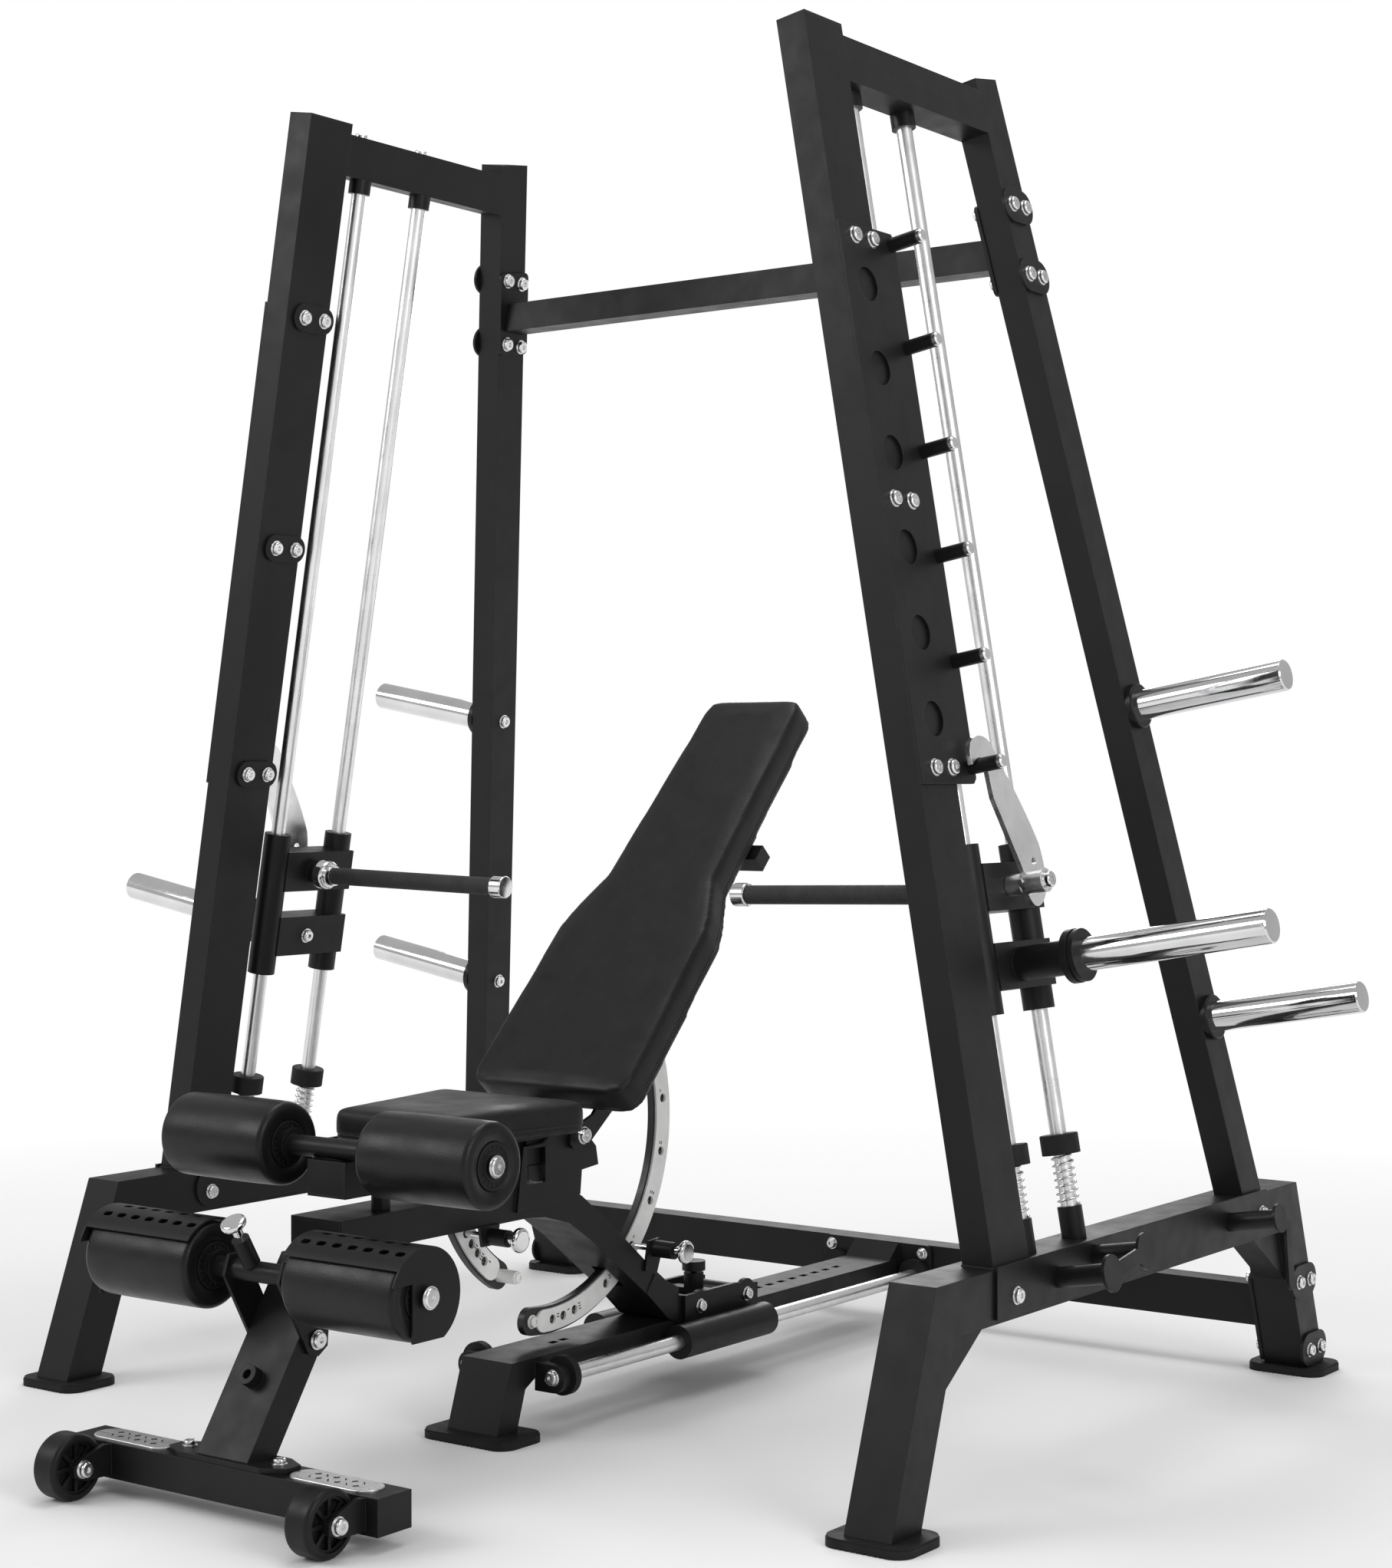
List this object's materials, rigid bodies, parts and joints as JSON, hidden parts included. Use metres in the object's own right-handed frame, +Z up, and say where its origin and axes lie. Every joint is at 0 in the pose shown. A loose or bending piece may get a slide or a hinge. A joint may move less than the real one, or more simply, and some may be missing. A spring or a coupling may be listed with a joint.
{
  "type": "smith machine",
  "caption": "Smith machine with leaning side frames, converging plate-loaded carriages on guide rods, and a sliding adjustable bench with leg rollers",
  "frame": {"origin": "centre of the footprint at floor level", "axes": "+X to the user's right when facing the machine, +Y to the back, +Z up"},
  "size_m": [2.3224, 1.9204, 2.1595],
  "materials": {
    "base_rails": "black powder coat with a fine satin texture",
    "front_uprights": "black powder coat with a fine satin texture",
    "rear_uprights": "black powder coat with a fine satin texture",
    "top_links": "black powder coat with a fine satin texture",
    "rack_plates": "black powder coat with a fine satin texture",
    "catch_pegs": "black powder coat with a fine satin texture",
    "bolted_plates": "black powder coat with a fine satin texture",
    "storage_pegs": "black powder coat with a fine satin texture",
    "crossbars": "black powder coat with a fine satin texture",
    "bench_track": "black powder coat with a fine satin texture",
    "carriage_right": "black powder coat with a fine satin texture",
    "carriage_left": "black powder coat with a fine satin texture",
    "sled": "black powder coat with a fine satin texture",
    "bench_spine": "black powder coat with a fine satin texture",
    "bench_stem": "black powder coat with a fine satin texture",
    "foot_crossbar": "black powder coat with a fine satin texture",
    "pin_barrels": "black powder coat with a fine satin texture",
    "seat_frame": "black powder coat with a fine satin texture",
    "upper_roller_bar": "black powder coat with a fine satin texture",
    "backrest_frame": "black powder coat with a fine satin texture",
    "roller_arm": "black powder coat with a fine satin texture",
    "roller_shields": "black powder coat with a fine satin texture",
    "horn_flanges": "black satin enamel",
    "rod_mounts": "black satin enamel",
    "foot_pads": "black moulded rubber",
    "track_stops": "black moulded rubber",
    "bumpers_right": "black moulded rubber",
    "bumpers_left": "black moulded rubber",
    "handle_grip_right": "black moulded rubber",
    "handle_grip_left": "black moulded rubber",
    "upright_caps": "black moulded plastic",
    "wheel_right": "black moulded plastic",
    "wheel_left": "black moulded plastic",
    "lock_pin": "black moulded plastic",
    "guide_rods": "bright plated steel",
    "storage_horns": "bright plated steel",
    "loading_horn_right": "bright plated steel",
    "loading_horn_left": "bright plated steel",
    "frame_bolts": "bright plated steel",
    "handle_bar_right": "bright plated steel",
    "handle_bar_left": "bright plated steel",
    "catch_hook_right": "bright plated steel",
    "catch_hook_left": "bright plated steel",
    "bench_bolts": "bright plated steel",
    "upper_roller_bolts": "bright plated steel",
    "lower_roller_bolts": "bright plated steel",
    "seat_pin": "bright plated steel",
    "backrest_pin": "bright plated steel",
    "arm_pin": "bright plated steel",
    "springs_right": "bright plated steel",
    "springs_left": "bright plated steel",
    "tread_plates": "brushed stainless steel",
    "seat_arc": "light painted scale over black plate",
    "backrest_arc": "light painted scale over black plate",
    "seat_pad": "black vinyl upholstery",
    "backrest_pad": "black vinyl upholstery",
    "upper_roller_right": "black foam roller with smooth vinyl cover",
    "upper_roller_left": "black foam roller with smooth vinyl cover",
    "lower_roller_right": "black foam roller with smooth vinyl cover",
    "lower_roller_left": "black foam roller with smooth vinyl cover"
  },
  "bodies": {
    "frame": {"base_rails": "base_rails", "foot_pads": "foot_pads", "front_uprights": "front_uprights", "rear_uprights": "rear_uprights", "upright_caps": "upright_caps", "top_links": "top_links", "guide_rods": "guide_rods", "rod_mounts": "rod_mounts", "rack_plates": "rack_plates", "catch_pegs": "catch_pegs", "bolted_plates": "bolted_plates", "storage_pegs": "storage_pegs", "storage_horns": "storage_horns", "horn_flanges": "horn_flanges", "frame_bolts": "frame_bolts", "crossbars": "crossbars", "bench_track": "bench_track", "track_stops": "track_stops", "springs_right": "springs_right", "springs_left": "springs_left"},
    "bumper_set_right": {"bumpers_right": "bumpers_right"},
    "carriage_right_body": {"carriage_right": "carriage_right", "loading_horn_right": "loading_horn_right"},
    "handle_right": {"handle_bar_right": "handle_bar_right", "handle_grip_right": "handle_grip_right", "catch_hook_right": "catch_hook_right"},
    "bumper_set_left": {"bumpers_left": "bumpers_left"},
    "carriage_left_body": {"carriage_left": "carriage_left", "loading_horn_left": "loading_horn_left"},
    "handle_left": {"handle_bar_left": "handle_bar_left", "handle_grip_left": "handle_grip_left", "catch_hook_left": "catch_hook_left"},
    "bench": {"sled": "sled", "bench_spine": "bench_spine", "bench_stem": "bench_stem", "foot_crossbar": "foot_crossbar", "tread_plates": "tread_plates", "bench_bolts": "bench_bolts", "pin_barrels": "pin_barrels"},
    "seat": {"seat_frame": "seat_frame", "seat_pad": "seat_pad", "seat_arc": "seat_arc", "upper_roller_bar": "upper_roller_bar", "upper_roller_bolts": "upper_roller_bolts"},
    "backrest": {"backrest_pad": "backrest_pad", "backrest_frame": "backrest_frame", "backrest_arc": "backrest_arc"},
    "leg_arm": {"roller_arm": "roller_arm", "roller_shields": "roller_shields", "lower_roller_bolts": "lower_roller_bolts"},
    "upper_roller_right_body": {"upper_roller_right": "upper_roller_right"},
    "upper_roller_left_body": {"upper_roller_left": "upper_roller_left"},
    "lower_roller_right_body": {"lower_roller_right": "lower_roller_right"},
    "lower_roller_left_body": {"lower_roller_left": "lower_roller_left"},
    "wheel_right_body": {"wheel_right": "wheel_right"},
    "wheel_left_body": {"wheel_left": "wheel_left"},
    "seat_pin_body": {"seat_pin": "seat_pin"},
    "backrest_pin_body": {"backrest_pin": "backrest_pin"},
    "arm_pin_body": {"arm_pin": "arm_pin"},
    "lock_pin_body": {"lock_pin": "lock_pin"}
  },
  "joints": [
    {"name": "bumper_set_right_press", "type": "slide", "parent": "frame", "child": "bumper_set_right", "axis": [-0.1736, 0, 0.9848], "range_m": [-0.04, 0], "stiffness_N_per_m": 8000, "deforming": ["springs_right"]},
    {"name": "carriage_right_slide", "type": "slide", "parent": "frame", "child": "carriage_right_body", "axis": [-0.1736, 0, 0.9848], "range_m": [0, 0.948]},
    {"name": "handle_right_twist", "type": "hinge", "parent": "carriage_right_body", "child": "handle_right", "pos_m": [0.74888, 0.03877, 0.86269], "axis": [-0.9848, 0, -0.1736], "range_deg": [0, 40]},
    {"name": "bumper_set_left_press", "type": "slide", "parent": "frame", "child": "bumper_set_left", "axis": [0.1736, 0, 0.9848], "range_m": [-0.04, 0], "stiffness_N_per_m": 8000, "deforming": ["springs_left"]},
    {"name": "carriage_left_slide", "type": "slide", "parent": "frame", "child": "carriage_left_body", "axis": [0.1736, 0, 0.9848], "range_m": [0, 0.948]},
    {"name": "handle_left_twist", "type": "hinge", "parent": "carriage_left_body", "child": "handle_left", "pos_m": [-0.74888, 0.03877, 0.86269], "axis": [-0.9848, 0, 0.1736], "range_deg": [0, 40]},
    {"name": "bench_slide", "type": "slide", "parent": "frame", "child": "bench", "axis": [0, 1, 0], "range_m": [-0.27, 0.43]},
    {"name": "seat_tilt", "type": "hinge", "parent": "bench", "child": "seat", "pos_m": [0, -0.14323, 0.458], "axis": [-1, 0, 0], "range_deg": [0, 15.3]},
    {"name": "backrest_recline", "type": "hinge", "parent": "bench", "child": "backrest", "pos_m": [0, -0.14323, 0.458], "axis": [1, 0, 0], "range_deg": [-49.6, 44.2]},
    {"name": "leg_arm_swing", "type": "hinge", "parent": "bench", "child": "leg_arm", "pos_m": [0, -0.72323, 0.231], "axis": [1, 0, 0], "range_deg": [-15, 60]},
    {"name": "upper_roller_right_spin", "type": "hinge", "parent": "seat", "child": "upper_roller_right_body", "pos_m": [0.2, -0.62723, 0.4845], "axis": [1, 0, 0], "continuous": true},
    {"name": "upper_roller_left_spin", "type": "hinge", "parent": "seat", "child": "upper_roller_left_body", "pos_m": [-0.2, -0.62723, 0.4845], "axis": [1, 0, 0], "continuous": true},
    {"name": "lower_roller_right_spin", "type": "hinge", "parent": "leg_arm", "child": "lower_roller_right_body", "pos_m": [0.2, -0.77323, 0.327], "axis": [1, 0, 0], "continuous": true},
    {"name": "lower_roller_left_spin", "type": "hinge", "parent": "leg_arm", "child": "lower_roller_left_body", "pos_m": [-0.2, -0.77323, 0.327], "axis": [1, 0, 0], "continuous": true},
    {"name": "wheel_right_spin", "type": "hinge", "parent": "bench", "child": "wheel_right_body", "pos_m": [0.246, -0.91323, 0.047], "axis": [1, 0, 0], "continuous": true},
    {"name": "wheel_left_spin", "type": "hinge", "parent": "bench", "child": "wheel_left_body", "pos_m": [-0.246, -0.91323, 0.047], "axis": [1, 0, 0], "continuous": true},
    {"name": "seat_pin_pull", "type": "slide", "parent": "bench", "child": "seat_pin_body", "axis": [1, 0, 0], "range_m": [0, 0.012], "stiffness_N_per_m": 1500},
    {"name": "backrest_pin_pull", "type": "slide", "parent": "bench", "child": "backrest_pin_body", "axis": [1, 0, 0], "range_m": [0, 0.012], "stiffness_N_per_m": 1500},
    {"name": "arm_pin_pull", "type": "slide", "parent": "leg_arm", "child": "arm_pin_body", "axis": [0, -0.5075, 0.8616], "range_m": [0, 0.01], "stiffness_N_per_m": 1500},
    {"name": "lock_pin_pull", "type": "slide", "parent": "bench", "child": "lock_pin_body", "axis": [0, 0, 1], "range_m": [0, 0.012], "stiffness_N_per_m": 1500}
  ]
}
